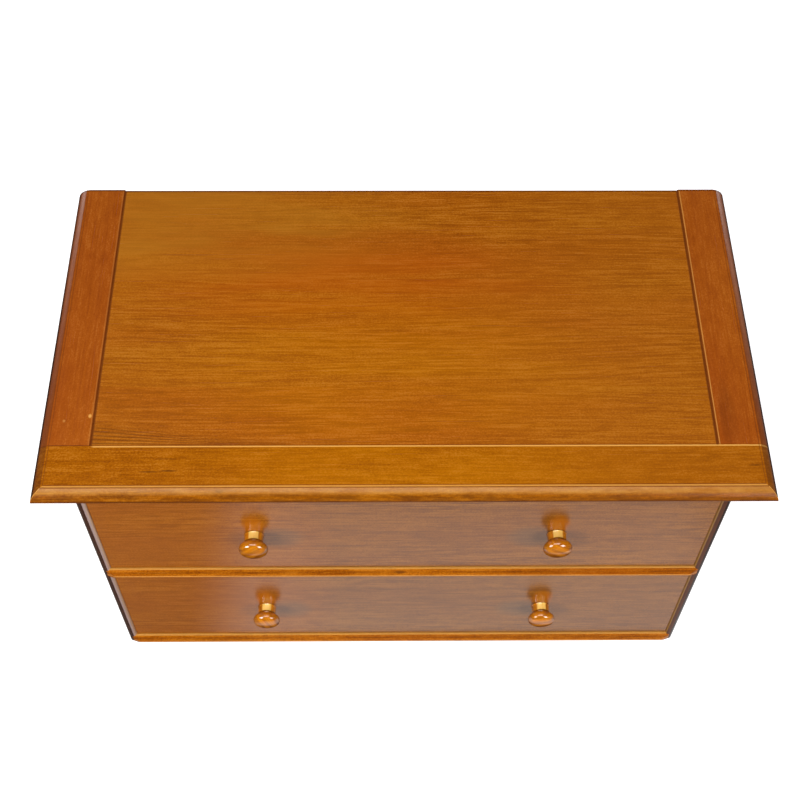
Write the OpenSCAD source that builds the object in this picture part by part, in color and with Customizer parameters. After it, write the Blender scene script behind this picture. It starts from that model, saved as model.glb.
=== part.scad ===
// Low solid-wood chest with two drawers.
// X runs across the front, Y runs from front to back and Z runs up.
// The origin is on the floor, in the middle of the footprint.
// Inside placed(), Y is measured back from the front edge of the side panels.

/* [Top] */
// Width of the top over its moulded ends
top_w = 811; // [640:1:1200]
// Depth of the top, from its moulded front edge to its plain back edge
top_d = 437.5; // [380:0.5:560]
// Thickness of the top
top_t = 16; // [16:0.5:28]
// Width of the long rail along the front of the top
top_rail_w = 64; // [50:0.5:85]
// Width of the cross-grained stile at each end of the top
stile_w = 60; // [54:0.5:85]
// Width of one full board between the stiles; the rear board is ripped to fit
top_board_w = 77; // [50:1:120]
// How much the cross-grain boards have shrunk short of the stiles at the back
board_shrink = 1.5; // [0:0.1:3]
// How far the moulding's curve runs in from the edge
moulding_run = 11.6; // [8:0.1:14]
// How far the moulding's curve drops
moulding_drop = 12.5; // [9:0.5:13]
// How far that curve bulges over a straight bevel
moulding_bow = 2.1; // [1:0.1:3]
// Depth of the fillet between the flat and the curve at its outer side
quirk = 0.9; // [0.8:0.1:1.5]
// Width of that fillet
fillet_w = 2.8; // [1.5:0.1:4]
// Radius of the lower edge of the top
under_round = 2.5; // [1:0.1:2.7]
// Depth and half width of the V groove beside each stile
v_groove = 1.2; // [0.6:0.1:2]
// Depth and half width of the eased joint behind the front rail of the top
eased_joint = 0.4; // [0.2:0.1:0.6]
// Length of the tongue on the ends of the boards
tongue_l = 7; // [4:0.5:12]
// Thickness of that tongue
tongue_t = 6; // [4:0.5:8]

/* [Carcass] */
// How far the top overhangs each side panel
side_overhang = 32; // [15:0.5:45]
// How far the top overhangs the front edge of the side panels
front_overhang = 33; // [15:0.5:45]
// How far the top overhangs the back, to clear a skirting board
rear_overhang = 12; // [5:0.5:20]
// Thickness of the side panels
side_t = 11; // [10:0.5:20]
// Width of one full side board; the rear board is ripped to fit
side_board_w = 100; // [60:1:140]
// Radius of the two front arrises of the side panels
side_round = 5; // [3:0.25:5.5]
// Clear height of each drawer opening
opening_h = 189; // [140:1:260]
// Height of the rail hidden under the front of the top
head_rail_h = 42; // [26:1:60]
// Thickness of that rail and of its fellow at the back
head_rail_t = 18; // [14:1:24]
// Thickness of the rails between and below the drawers
rail_t = 16; // [13:0.5:20]
// Depth of the front rails behind the front edge of the side panels
rail_d = 62; // [45:1:90]
// Depth of the rails at the back
rear_rail_d = 45; // [30:1:70]
// Width of the flat ledge between a drawer front and the nose of the rail below it
ledge_w = 0.5; // [0.2:0.1:1.5]
// Radius of the upper arris of the nose
nose_top_r = 2; // [1:0.25:3]
// Radius of the lower arris of the nose
nose_low_r = 4; // [3:0.25:5]
// How far the face of the nose leans out, in degrees from upright
nose_lean = 25; // [15:1:30]
// How much shorter the foremost line of the nose is at each end than its back
end_taper = 10; // [5:0.5:14]
// Thickness of the plywood back
back_t = 4; // [3:0.5:6]
// Width of the rebate that takes the back
rebate_w = 5; // [4:0.5:6]
// Thickness of the nail-on glides under the corners
glide_t = 3; // [2:0.5:8]
// Radius of the glides
glide_r = 10; // [7:0.5:14]
// Distance of the middle of a glide from the inner face of the side panel
glide_inset = 20; // [15:1:60]

/* [Drawers] */
// How far the drawer fronts lie behind the front edge of the side panels
face_set = 3; // [1:0.5:6]
// Gap between a drawer and the side panels
side_gap = 0.6; // [0.5:0.1:2]
// Gap above and below a drawer front
head_gap = 1; // [0.6:0.1:2]
// Running gap between a drawer side and its runner
run_gap = 0.3; // [0.2:0.05:0.5]
// Thickness of a drawer front
front_t = 16; // [14:0.5:22]
// Thickness of the drawer sides
box_side_t = 10; // [8:0.5:14]
// How far the drawer sides stop below the head of the opening
box_head_room = 11.7; // [4:0.1:60]
// Space left behind a closed drawer
box_rear_room = 18; // [8:1:60]
// Thickness of the drawer back
box_back_t = 10; // [8:0.5:14]
// How far the drawer back stops below the top of the sides
box_back_drop = 6; // [0:1:20]
// How far the sides run on behind the drawer back
box_tail = 12; // [8:1:20]
// Depth of the housing for the back in each side
housing = 4; // [2:0.5:5]
// Thickness of the plywood bottom
bottom_t = 4; // [3:0.5:6]
// Height of the bottom above the lower edge of the sides
bottom_rise = 10; // [8:0.5:16]
// Depth of the groove for the bottom
groove = 5; // [3:0.5:6]
// Length of the dovetails
tail_l = 11; // [8:0.5:12]
// Number of dovetails on each corner
tail_n = 4; // [3:1:6]
// How far each flank of a dovetail spreads over its length
tail_spread = 1.6; // [1:0.1:2.5]
// Narrowest width of the pin between two dovetails, at the shoulder
pin_w = 14; // [10:1:20]

/* [Knobs] */
// Distance between the two knobs of a drawer
knob_spacing = 360; // [200:0.5:500]
// How far the middle between them lies to the right of the drawer's middle
knob_shift = 2.3; // [0:0.1:10]
// How far the knobs sit below the middle of the opening
knob_drop = 8; // [0:0.5:30]
// How far a knob stands out from the drawer front
knob_l = 27; // [24:0.5:40]
// Greatest diameter of a knob
knob_d = 34.5; // [30:0.5:42]
// Greatest thickness of the head
knob_head_t = 17; // [14:0.2:20]
// Radius of the rim of the head
rim_r = 5.5; // [4:0.5:6.5]
// Diameter of the neck
neck_d = 22.5; // [16:0.5:24]
// Diameter of the foot of the neck
foot_d = 24; // [18:0.5:27]
// Height over which the foot narrows to the neck
foot_h = 1.5; // [1:0.5:4]

/* [Runners and stops] */
// Width of the runners
runner_w = 20; // [16:1:30]
// Width of the cleats under the top
cleat_w = 20; // [16:1:28]
// Distance of the cleats' screws from the side panels, which keeps them clear of the boards' tongues
cleat_screw_inset = 6.5; // [6:0.5:7.5]
// Width of a drawer stop
stop_w = 30; // [20:1:50]
// Depth of a drawer stop
stop_d = 20; // [12:1:30]
// Height of a drawer stop
stop_h = 6; // [4:0.5:8]
// Gap between a stop and the closed drawer front
stop_gap = 0.3; // [0.2:0.05:0.5]
// Distance of each stop from the middle of the rail
stop_x = 240; // [100:5:280]

/* [Fastenings] */
// Radius of the wooden dowels
dowel_r = 4; // [3:0.5:4.5]
// Distance of the dowels from the long edges of a carcass rail
dowel_inset = 8; // [7:0.5:12]
// Distance of the dowels from the long edges of a stile
stile_dowel_inset = 18; // [16:0.5:19]
// How deep a dowel goes into a side panel
dowel_in_side = 8; // [6:0.5:9]
// How deep a dowel goes into a rail
dowel_in_rail = 22; // [15:1:35]
// Radius of the screw shanks
screw_r = 1.9; // [1.5:0.1:2.2]
// Radius of the screw heads
screw_head_r = 3.8; // [3:0.1:4.5]
// How much wider the counterbores are than the screw heads, in radius
counterbore_room = 1.2; // [0.5:0.1:2]
// Depth of the counterbores
counterbore_d = 4; // [3:0.5:6]
// Distance of the end screws from the ends of a runner or cleat
screw_inset = 35; // [20:1:60]
// Distance from the middle screw to the outer screws of a head rail
head_screw_spacing = 230; // [120:5:250]
// Distance from the middle screw to the outer screws of a drawer bottom
bottom_screw_spacing = 240; // [120:5:245]
// How deep the runner screws bite into the side panels
screw_bite = 7; // [5:0.5:9]
// How deep the top screws bite into the top
top_bite = 10; // [6:0.5:11]
// How deep the knob screws bite into the knobs
knob_bite = 15; // [10:0.5:20]
// How deep the bottom screws bite into the drawer back
bottom_bite = 14; // [8:0.5:20]
// Radius of the panel pins
pin_r = 0.7; // [0.5:0.1:1]
// Length of the panel pins under their heads
pin_l = 16; // [12:1:20]
// Distance of the outer pins in a rail from the side panels
pin_inset = 70; // [20:5:120]
// Clearance round dowels, screws and pins
fastener_fit = 0.05; // [0.02:0.01:0.15]

/* [Hidden] */
$fn = 64;
past = 1;
mid_z = -top_t / 2;
tongue_room = 1;
screw_head_h = 2.6;
pin_head_r = 1.5;
pin_head_h = 0.6;
glide_nail_r = 1.3;
glide_nail_l = 11;
drive_w = 1;
drive_d = 1.2;

counterbore_r = screw_head_r + counterbore_room;
carcass_w = top_w - 2 * side_overhang;
carcass_d = top_d - front_overhang - rear_overhang;
opening_w = carcass_w - 2 * side_t;
nose_w = carcass_w - 2 * side_round;
nose_top_y = face_set - ledge_w;
nose_face_h = rail_t - nose_top_r - nose_low_r;
nose_low_y = nose_top_y + (nose_low_r - nose_top_r - nose_face_h * sin(nose_lean)) / cos(nose_lean);
nose_proud = nose_low_r - nose_low_y;
drawer_n = 2;
storey = opening_h + rail_t;
base_z = glide_t;
head_z = base_z + drawer_n * storey;
under_top = head_z + head_rail_h;
total_h = under_top + top_t;
joint_y = top_rail_w - front_overhang;
boards_d = top_d - top_rail_w - board_shrink;
top_board_n = ceil(boards_d / top_board_w);
side_board_n = ceil(carcass_d / side_board_w);
fillet_drop = 1.25 * eased_joint;
curve_drop = moulding_drop - quirk;
curve_w = sqrt(pow(moulding_run, 2) + pow(curve_drop, 2));
bow_r = pow(curve_w, 2) / (8 * moulding_bow) + moulding_bow / 2;
back_y = carcass_d - back_t;
front_back_y = face_set + front_t;
rear_head_y = back_y - head_rail_t;
rear_rail_y = back_y - rear_rail_d;
front_w = opening_w - 2 * side_gap;
front_h = opening_h - 2 * head_gap;
box_in_w = front_w - 2 * box_side_t;
drawer_l = back_y - face_set - box_rear_room;
box_back_y = face_set + drawer_l - box_tail - box_back_t;
box_side_h = opening_h - run_gap - box_head_room;
tail_pitch = box_side_h / tail_n;
knob_reach = knob_l - face_set;
reach = max(front_overhang, knob_reach, nose_proud);
front_y = (reach - carcass_d - rear_overhang) / 2;
cleat_l = rear_head_y - face_set - head_rail_t;
stile_x = top_w / 2 - stile_w;
glide_x = opening_w / 2 - glide_inset;
knob_screw_l = front_t - counterbore_d + knob_bite;
runner_screw_l = runner_w + screw_bite;
top_screw_l = head_rail_h + top_bite - counterbore_d;
bottom_screw_l = bottom_t + bottom_bite;

top_colour = [0.70, 0.40, 0.10];
stile_colour = [0.64, 0.33, 0.09];
rail_colour = [0.70, 0.41, 0.06];
side_colour = [0.58, 0.30, 0.10];
front_colour = [0.62, 0.38, 0.20];
knob_colour = [0.78, 0.47, 0.10];
plain_wood_colour = [0.83, 0.68, 0.47];
plywood_colour = [0.80, 0.66, 0.46];
steel_colour = [0.72, 0.72, 0.70];
glide_colour = [0.30, 0.22, 0.16];

// Height of the floor of a drawer opening, 1 for the lower and 2 for the upper one
function sill_z(i) = base_z + rail_t + (i - 1) * storey;
// Two places between a low and a high edge, one near each edge
function near_edges(low, high, inset) = [low + inset, high - inset];
// The same with a third place in the middle
function ends_and_middle(low, high, inset) = [low + inset, (low + high) / 2, high - inset];
// Height of the axes of a drawer's knobs
function knob_z(i) = sill_z(i) + opening_h / 2 - knob_drop;
function knob_x(side) = knob_shift + side * knob_spacing / 2;
front_dowel_ys = near_edges(face_set, rail_d, dowel_inset);
rear_dowel_ys = near_edges(rear_rail_y, back_y, dowel_inset);
head_dowel_zs = near_edges(head_z, under_top, dowel_inset);
head_dowel_ys = [face_set + head_rail_t / 2, rear_head_y + head_rail_t / 2];
stile_dowel_xs = near_edges(stile_x, top_w / 2, stile_dowel_inset);
runner_l = rear_rail_y - rail_d;
runner_screw_ys = ends_and_middle(rail_d, rear_rail_y, screw_inset);
cleat_screw_ys = ends_and_middle(face_set + head_rail_t, rear_head_y, screw_inset);
head_screw_xs = [-head_screw_spacing, 0, head_screw_spacing];
bottom_screw_xs = [-bottom_screw_spacing, 0, bottom_screw_spacing];
pin_rows = 5;
pin_columns = 4;
back_w = opening_w + 2 * rebate_w;

// Moves a piece from the carcass's own Y to the part's frame
module placed() {
    translate([0, front_y, 0]) children();
}

// Runs an outline of depth and height along X, centred
module along_x(length) {
    rotate([90, 0, 90]) linear_extrude(length, center = true) children();
}

// Runs an outline of width and height along Y, centred
module along_y(length) {
    rotate([90, 0, 0]) linear_extrude(length, center = true) children();
}

module on_both_sides() {
    children();
    mirror([1, 0, 0]) children();
}

// Waste that the moulding cutter takes off one edge of the top
module edge_waste() {
    difference() {
        translate([-past, -moulding_drop]) square([moulding_run + past, moulding_drop + past]);
        translate([0, -moulding_drop]) rotate(atan2(curve_drop, moulding_run))
            translate([curve_w / 2, moulding_bow - bow_r]) circle(bow_r);
    }
    translate([moulding_run - past, -fillet_drop]) square([fillet_w + past, fillet_drop + past]);
    difference() {
        translate([-past, -top_t - past]) square([under_round + past, under_round + past]);
        translate([under_round, under_round - top_t]) circle(under_round);
    }
}

module front_edge_waste() {
    translate([0, -front_overhang, total_h]) along_x(top_w + 2 * past) edge_waste();
}

module end_edge_waste() {
    translate([-top_w / 2, top_d / 2 - front_overhang, total_h]) along_y(top_d + 2 * past) edge_waste();
}

// V groove of a given depth in the top surface, run along Y
module v_along_y(depth) {
    along_y(2 * top_d) polygon([[-depth - past, past], [depth + past, past], [0, -depth]]);
}

// The same V run along X
module v_along_x(depth) {
    along_x(2 * top_w) polygon([[-depth - past, past], [depth + past, past], [0, -depth]]);
}

// Block of the top between two X and two Y values
module top_block(x0, x1, y0, y1) {
    translate([x0, y0, under_top]) cube([x1 - x0, y1 - y0, top_t]);
}

module stile_dowel(extra) {
    for (x = stile_dowel_xs) {
        translate([-x, joint_y, total_h + mid_z]) rotate([90, 0, 0])
            cylinder(h = 2 * dowel_in_rail + 2 * extra, r = dowel_r + extra, center = true);
    }
}

// Straight screw with its head at the origin and its point down the Z axis
module screw(length) {
    difference() {
        union() {
            translate([0, 0, -screw_head_h]) cylinder(h = screw_head_h, r1 = screw_r, r2 = screw_head_r);
            translate([0, 0, -length]) cylinder(h = length - screw_head_h / 2, r = screw_r);
        }
        for (turn = [0, 90]) {
            rotate([0, 0, turn]) translate([-screw_r - drive_w / 2, -drive_w / 2, -drive_d])
                cube([2 * screw_r + drive_w, drive_w, drive_d + past]);
        }
    }
}

// Hole for that screw, countersunk for its head
module screw_hole(length) {
    translate([0, 0, -screw_head_h]) cylinder(h = screw_head_h, r1 = screw_r + fastener_fit,
        r2 = screw_head_r + fastener_fit);
    translate([0, 0, -length - fastener_fit]) cylinder(h = length, r = screw_r + fastener_fit);
    cylinder(h = past, r = screw_head_r + fastener_fit);
}

// Places of the screws that hold the top, heads down in counterbores
module top_screw_places() {
    for (y = cleat_screw_ys) {
        on_both_sides() translate([-opening_w / 2 + cleat_screw_inset, y, head_z + counterbore_d])
            rotate([180, 0, 0]) children();
    }
    for (x = head_screw_xs) {
        for (y = head_dowel_ys) {
            translate([x, y, head_z + counterbore_d]) rotate([180, 0, 0]) children();
        }
    }
}

module top_screw_holes() {
    top_screw_places() {
        screw_hole(top_screw_l);
        cylinder(h = counterbore_d + past, r = counterbore_r);
    }
}

module top_front_rail() {
    color(rail_colour) placed() difference() {
        top_block(-top_w / 2, top_w / 2, -front_overhang, joint_y);
        front_edge_waste();
        on_both_sides() end_edge_waste();
        translate([0, joint_y, total_h]) v_along_x(eased_joint);
        on_both_sides() stile_dowel(fastener_fit);
        top_screw_holes();
    }
}

module stile() {
    color(stile_colour) placed() difference() {
        top_block(-top_w / 2, -stile_x, joint_y, top_d - front_overhang);
        end_edge_waste();
        translate([-stile_x, 0, total_h]) v_along_y(v_groove);
        translate([0, joint_y, total_h]) v_along_x(eased_joint);
        translate([-stile_x - tongue_l - tongue_room, joint_y - past, total_h + mid_z - tongue_t / 2])
            cube([tongue_l + tongue_room + past, top_d, tongue_t]);
        stile_dowel(fastener_fit);
        top_screw_holes();
    }
}

module top_board(i) {
    y0 = joint_y + (i - 1) * top_board_w;
    y1 = min(y0 + top_board_w, joint_y + boards_d);
    color(top_colour) placed() difference() {
        union() {
            top_block(-stile_x, stile_x, y0, y1);
            translate([-stile_x - tongue_l, y0, total_h + mid_z - tongue_t / 2])
                cube([2 * (stile_x + tongue_l), y1 - y0, tongue_t]);
        }
        on_both_sides() translate([-stile_x, 0, total_h]) v_along_y(v_groove);
        translate([0, joint_y, total_h]) v_along_x(eased_joint);
        top_screw_holes();
    }
}

// Waste outside the rounded corner of a panel whose edges are the two axes
module corner_waste(radius) {
    difference() {
        translate([-past, -past]) square([radius + past, radius + past]);
        translate([radius, radius]) circle(radius);
    }
}

// Plan of the left side panel, its outer face at X = 0 and its front edge at Y = 0
module side_plan() {
    difference() {
        square([side_t, carcass_d]);
        corner_waste(side_round);
        translate([side_t, 0]) mirror([1, 0]) corner_waste(side_round);
        translate([side_t - rebate_w, back_y]) square([rebate_w + past, back_t + past]);
    }
}

module rail_dowel_row(x, y, z, extra) {
    on_both_sides() translate([-x - dowel_in_side - extra, y, z]) rotate([0, 90, 0])
        cylinder(h = dowel_in_side + dowel_in_rail + 2 * extra, r = dowel_r + extra);
}

// All dowels between the rails and the side panels, larger by extra for their holes
module rail_dowel_set(extra) {
    for (i = [1 : drawer_n]) {
        for (y = concat(front_dowel_ys, rear_dowel_ys)) {
            rail_dowel_row(opening_w / 2, y, sill_z(i) - rail_t / 2, extra);
        }
    }
    for (z = head_dowel_zs) {
        for (y = head_dowel_ys) rail_dowel_row(opening_w / 2, y, z, extra);
    }
}

module runner_screw_places() {
    for (i = [1 : drawer_n]) {
        for (y = runner_screw_ys) {
            on_both_sides() translate([-opening_w / 2 + runner_w, y, sill_z(i) - rail_t / 2])
                rotate([0, 90, 0]) children();
        }
    }
}

module pin_places() {
    for (k = [0 : pin_rows - 1]) {
        on_both_sides() translate([-back_w / 2 + rebate_w / 2, carcass_d,
            base_z + (k + 0.5) * (under_top - base_z) / pin_rows])
            rotate([-90, 0, 0]) children();
    }
    for (z = [base_z + rail_t / 2, sill_z(2) - rail_t / 2, under_top - head_rail_h / 2]) {
        for (k = [0 : pin_columns - 1]) {
            translate([(k / (pin_columns - 1) - 0.5) * (opening_w - 2 * pin_inset), carcass_d, z])
                rotate([-90, 0, 0]) children();
        }
    }
}

module pin_holes() {
    pin_places() translate([0, 0, -pin_l - fastener_fit])
        cylinder(h = pin_l + 2 * past, r = pin_r + fastener_fit);
}

// Left side panel in one piece, before it is shared out into boards
module whole_side() {
    translate([-carcass_w / 2, 0, base_z]) linear_extrude(under_top - base_z) side_plan();
}

module side_board(i) {
    y0 = (i - 1) * side_board_w;
    y1 = min(y0 + side_board_w, carcass_d);
    color(side_colour) placed() difference() {
        translate([-carcass_w / 2, 0, base_z]) linear_extrude(under_top - base_z) intersection() {
            side_plan();
            translate([-past, y0]) square([side_t + 2 * past, y1 - y0]);
        }
        rail_dowel_set(fastener_fit);
        runner_screw_places() screw_hole(runner_screw_l);
        pin_holes();
    }
}

// Point on a rounded arris of the nose where its leaning face begins
function lean_point(y, z, radius) = [y - radius * cos(nose_lean), z + radius * sin(nose_lean)];

// Section of a front rail: depth from the front edge of the side panels, height from its underside
module rail_section() {
    translate([nose_top_y, rail_t - nose_top_r]) circle(nose_top_r);
    translate([nose_low_y, nose_low_r]) circle(nose_low_r);
    polygon([[rail_d, 0], [rail_d, rail_t], [nose_top_y, rail_t],
        lean_point(nose_top_y, rail_t - nose_top_r, nose_top_r),
        lean_point(nose_low_y, nose_low_r, nose_low_r), [nose_low_y, 0]]);
}

// Rail with a leaning rounded nose that tapers at both ends, coped over the side panels
module front_rail(top_z) {
    color(rail_colour) placed() difference() {
        intersection() {
            translate([0, 0, top_z - rail_t]) along_x(carcass_w) rail_section();
            translate([0, 0, top_z - rail_t - past]) linear_extrude(rail_t + 2 * past) polygon([
                [-nose_w / 2, rail_d + past], [-nose_w / 2, 0], [end_taper - nose_w / 2, -nose_proud],
                [nose_w / 2 - end_taper, -nose_proud], [nose_w / 2, 0], [nose_w / 2, rail_d + past]]);
        }
        on_both_sides() whole_side();
        rail_dowel_set(fastener_fit);
        glide_nails(fastener_fit);
    }
}

module head_rail_at(y, colour) {
    color(colour) placed() difference() {
        translate([-opening_w / 2, y, head_z]) cube([opening_w, head_rail_t, head_rail_h]);
        rail_dowel_set(fastener_fit);
        top_screw_holes();
        pin_holes();
    }
}

module rear_rail(top_z) {
    color(plain_wood_colour) placed() difference() {
        translate([-opening_w / 2, rear_rail_y, top_z - rail_t]) cube([opening_w, rear_rail_d, rail_t]);
        rail_dowel_set(fastener_fit);
        pin_holes();
        glide_nails(fastener_fit);
    }
}

module back_panel() {
    color(plywood_colour) placed() difference() {
        translate([-back_w / 2, back_y, base_z]) cube([back_w, back_t, under_top - base_z]);
        pin_holes();
    }
}

module back_panel_pins() {
    color(steel_colour) placed() pin_places() {
        translate([0, 0, -pin_l]) cylinder(h = pin_l, r = pin_r);
        cylinder(h = pin_head_h, r = pin_head_r);
    }
}

module runner(i) {
    color(plain_wood_colour) placed() difference() {
        translate([-opening_w / 2, rail_d, sill_z(i) - rail_t]) cube([runner_w, runner_l, rail_t]);
        runner_screw_places() screw_hole(runner_screw_l);
    }
}

module cleat() {
    color(plain_wood_colour) placed() difference() {
        translate([-opening_w / 2, face_set + head_rail_t, head_z]) cube([cleat_w, cleat_l, head_rail_h]);
        top_screw_holes();
    }
}

module drawer_stops() {
    color(plain_wood_colour) placed() for (i = [1 : drawer_n]) {
        on_both_sides() translate([-stop_x - stop_w / 2, front_back_y + stop_gap, sill_z(i)])
            cube([stop_w, stop_d, stop_h]);
    }
}

module rail_dowels() {
    color(plain_wood_colour) placed() rail_dowel_set(0);
}

module stile_dowels() {
    color(plain_wood_colour) placed() on_both_sides() stile_dowel(0);
}

module runner_screws() {
    color(steel_colour) placed() runner_screw_places() screw(runner_screw_l);
}

module top_screws() {
    color(steel_colour) placed() top_screw_places() screw(top_screw_l);
}

module glide_places() {
    for (y = [rail_d / 2, rear_rail_y + rear_rail_d / 2]) {
        on_both_sides() translate([-glide_x, y, 0]) children();
    }
}

module glide_nails(extra) {
    glide_places() translate([0, 0, glide_t - past])
        cylinder(h = glide_nail_l + past + extra, r = glide_nail_r + extra);
}

module glides() {
    color(glide_colour) placed() glide_places() {
        rotate_extrude() polygon([[0, 0], [glide_r - glide_t / 2, 0], [glide_r, glide_t / 2],
            [glide_r, glide_t], [0, glide_t]]);
        cylinder(h = glide_t + glide_nail_l, r = glide_nail_r);
    }
}

// Outline of the dovetails of one corner: depth runs to the front, height from the lower edge
module tails(length) {
    for (k = [0 : tail_n - 1]) {
        low = k * tail_pitch + pin_w / 2;
        high = (k + 1) * tail_pitch - pin_w / 2;
        polygon([[0, low], [0, high], [-length, high + tail_spread], [-length, low - tail_spread]]);
    }
}

// Bottom panel of a drawer, which also cuts its own grooves
module bottom_block(z) {
    translate([-box_in_w / 2 - groove, front_back_y - groove, z + bottom_rise])
        cube([box_in_w + 2 * groove, box_back_y + box_back_t - front_back_y + groove, bottom_t]);
}

function box_z(i) = sill_z(i) + run_gap;

module knob_place(i, side) {
    translate([knob_x(side), face_set, knob_z(i)]) rotate([90, 0, 0]) children();
}

module knob_screw_places(i) {
    for (side = [-1, 1]) {
        knob_place(i, side) translate([0, 0, counterbore_d - front_t]) rotate([180, 0, 0]) children();
    }
}

module bottom_screw_places(i) {
    for (x = bottom_screw_xs) {
        translate([x, box_back_y + box_back_t / 2, box_z(i) + bottom_rise])
            rotate([180, 0, 0]) children();
    }
}

module drawer_front(i) {
    color(front_colour) placed() difference() {
        translate([-front_w / 2, face_set, sill_z(i) + head_gap]) cube([front_w, front_t, front_h]);
        on_both_sides() translate([(box_side_t - front_w) / 2, front_back_y, box_z(i)])
            along_x(box_side_t + 2 * fastener_fit) tails(tail_l);
        bottom_block(box_z(i));
        knob_screw_places(i) {
            screw_hole(knob_screw_l);
            cylinder(h = counterbore_d + past, r = counterbore_r);
        }
    }
}

module drawer_side(i) {
    color(plain_wood_colour) placed() difference() {
        translate([(box_side_t - front_w) / 2, front_back_y, box_z(i)]) along_x(box_side_t) {
            square([drawer_l - front_t, box_side_h]);
            tails(tail_l);
        }
        translate([-box_in_w / 2 - groove, 0, box_z(i) + bottom_rise])
            cube([groove + past, face_set + drawer_l + past, bottom_t]);
        translate([-box_in_w / 2 - housing, box_back_y, box_z(i) + bottom_rise])
            cube([housing + past, box_back_t, box_side_h]);
    }
}

module drawer_back(i) {
    color(plain_wood_colour) placed() difference() {
        translate([-box_in_w / 2 - housing, box_back_y, box_z(i) + bottom_rise + bottom_t])
            cube([box_in_w + 2 * housing, box_back_t, box_side_h - box_back_drop - bottom_rise - bottom_t]);
        bottom_screw_places(i) screw_hole(bottom_screw_l);
    }
}

module drawer_bottom(i) {
    color(plywood_colour) placed() difference() {
        bottom_block(box_z(i));
        bottom_screw_places(i) screw_hole(bottom_screw_l);
    }
}

// Oval of two flat arcs and two rim arcs, centred, for the head of a knob
module head_outline() {
    a = knob_d / 2;
    b = knob_head_t / 2;
    cap_r = (pow(a - rim_r, 2) + pow(b, 2) - pow(rim_r, 2)) / (2 * (b - rim_r));
    meet_x = (a - rim_r) * cap_r / (cap_r - rim_r);
    intersection() {
        translate([0, b - cap_r]) circle(cap_r);
        translate([0, cap_r - b]) circle(cap_r);
        translate([-meet_x, -b]) square([2 * meet_x, 2 * b]);
    }
    translate([a - rim_r, 0]) circle(rim_r);
}

// Turned knob standing on the origin, with a blind hole for its screw
module knob_shape() {
    head_z0 = knob_l - knob_head_t / 2;
    difference() {
        rotate_extrude() {
            intersection() {
                translate([0, head_z0]) head_outline();
                square([knob_d, knob_l]);
            }
            polygon([[0, 0], [foot_d / 2, 0], [neck_d / 2, foot_h], [neck_d / 2, head_z0], [0, head_z0]]);
        }
        translate([0, 0, -past]) cylinder(h = knob_bite + past + fastener_fit, r = screw_r + fastener_fit);
    }
}

module knob(i, side) {
    color(knob_colour) placed() knob_place(i, side) knob_shape();
}

module knob_screws(i) {
    color(steel_colour) placed() knob_screw_places(i) screw(knob_screw_l);
}

module bottom_screws(i) {
    color(steel_colour) placed() bottom_screw_places(i) screw(bottom_screw_l);
}

top_front_rail();
stile();  // top_stile_left
mirror([1, 0, 0]) stile();  // top_stile_right
for (i = [1 : top_board_n]) top_board(i);
for (i = [1 : side_board_n]) {
    side_board(i);
    mirror([1, 0, 0]) side_board(i);
}
head_rail_at(face_set, rail_colour);  // head_rail
front_rail(sill_z(2));  // middle_rail
front_rail(sill_z(1));  // bottom_rail
head_rail_at(rear_head_y, plain_wood_colour);  // rear_head_rail
rear_rail(sill_z(2));  // rear_middle_rail
rear_rail(sill_z(1));  // rear_bottom_rail
back_panel();
back_panel_pins();
runner(1);  // runner_lower_left
mirror([1, 0, 0]) runner(1);  // runner_lower_right
runner(2);  // runner_upper_left
mirror([1, 0, 0]) runner(2);  // runner_upper_right
cleat();  // cleat_left
mirror([1, 0, 0]) cleat();  // cleat_right
drawer_stops();
rail_dowels();
stile_dowels();
runner_screws();
top_screws();
glides();
for (i = [1 : drawer_n]) {
    name = str("drawer_", ["lower", "upper"][i - 1], "_");
    drawer_front(i);
    drawer_side(i);
    mirror([1, 0, 0]) drawer_side(i);
    drawer_back(i);
    drawer_bottom(i);
    knob(i, -1);
    knob(i, 1);
    knob_screws(i);
    bottom_screws(i);
}
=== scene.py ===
from math import copysign, cos, pi, radians, sin

import bpy
from mathutils import Matrix, Vector

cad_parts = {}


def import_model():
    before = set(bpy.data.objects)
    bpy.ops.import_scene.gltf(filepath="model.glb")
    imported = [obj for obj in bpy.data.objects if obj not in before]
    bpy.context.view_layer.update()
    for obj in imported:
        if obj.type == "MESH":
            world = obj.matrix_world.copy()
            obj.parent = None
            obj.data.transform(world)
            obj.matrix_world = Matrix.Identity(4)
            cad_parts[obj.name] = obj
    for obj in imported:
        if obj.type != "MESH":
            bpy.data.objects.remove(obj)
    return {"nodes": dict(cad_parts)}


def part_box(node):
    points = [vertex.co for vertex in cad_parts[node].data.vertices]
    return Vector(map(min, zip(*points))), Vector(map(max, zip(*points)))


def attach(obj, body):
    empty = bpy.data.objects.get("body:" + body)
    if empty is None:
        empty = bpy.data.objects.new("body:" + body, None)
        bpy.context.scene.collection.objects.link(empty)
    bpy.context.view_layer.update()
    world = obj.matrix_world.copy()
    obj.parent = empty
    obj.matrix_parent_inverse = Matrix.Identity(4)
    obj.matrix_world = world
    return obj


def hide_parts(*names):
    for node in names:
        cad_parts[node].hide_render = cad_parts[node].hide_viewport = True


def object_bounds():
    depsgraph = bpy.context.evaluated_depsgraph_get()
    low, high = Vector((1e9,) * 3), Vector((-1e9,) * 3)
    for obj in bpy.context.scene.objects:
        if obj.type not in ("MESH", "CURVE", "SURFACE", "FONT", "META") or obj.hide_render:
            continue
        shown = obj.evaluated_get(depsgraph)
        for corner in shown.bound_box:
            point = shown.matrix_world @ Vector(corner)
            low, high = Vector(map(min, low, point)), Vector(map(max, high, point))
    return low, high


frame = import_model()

MM = 0.001
NODES = frame["nodes"]
CAD_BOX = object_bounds()
FRONT_Y = CAD_BOX[0][1]
HALF_WIDTH = CAD_BOX[1][0]
TOP_Z = CAD_BOX[1][2]
DRAWERS = ("lower", "upper")
SIDES = ("left", "right")

# How softly the edge of a thin line fades
SOFT = 0.3 * MM


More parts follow.
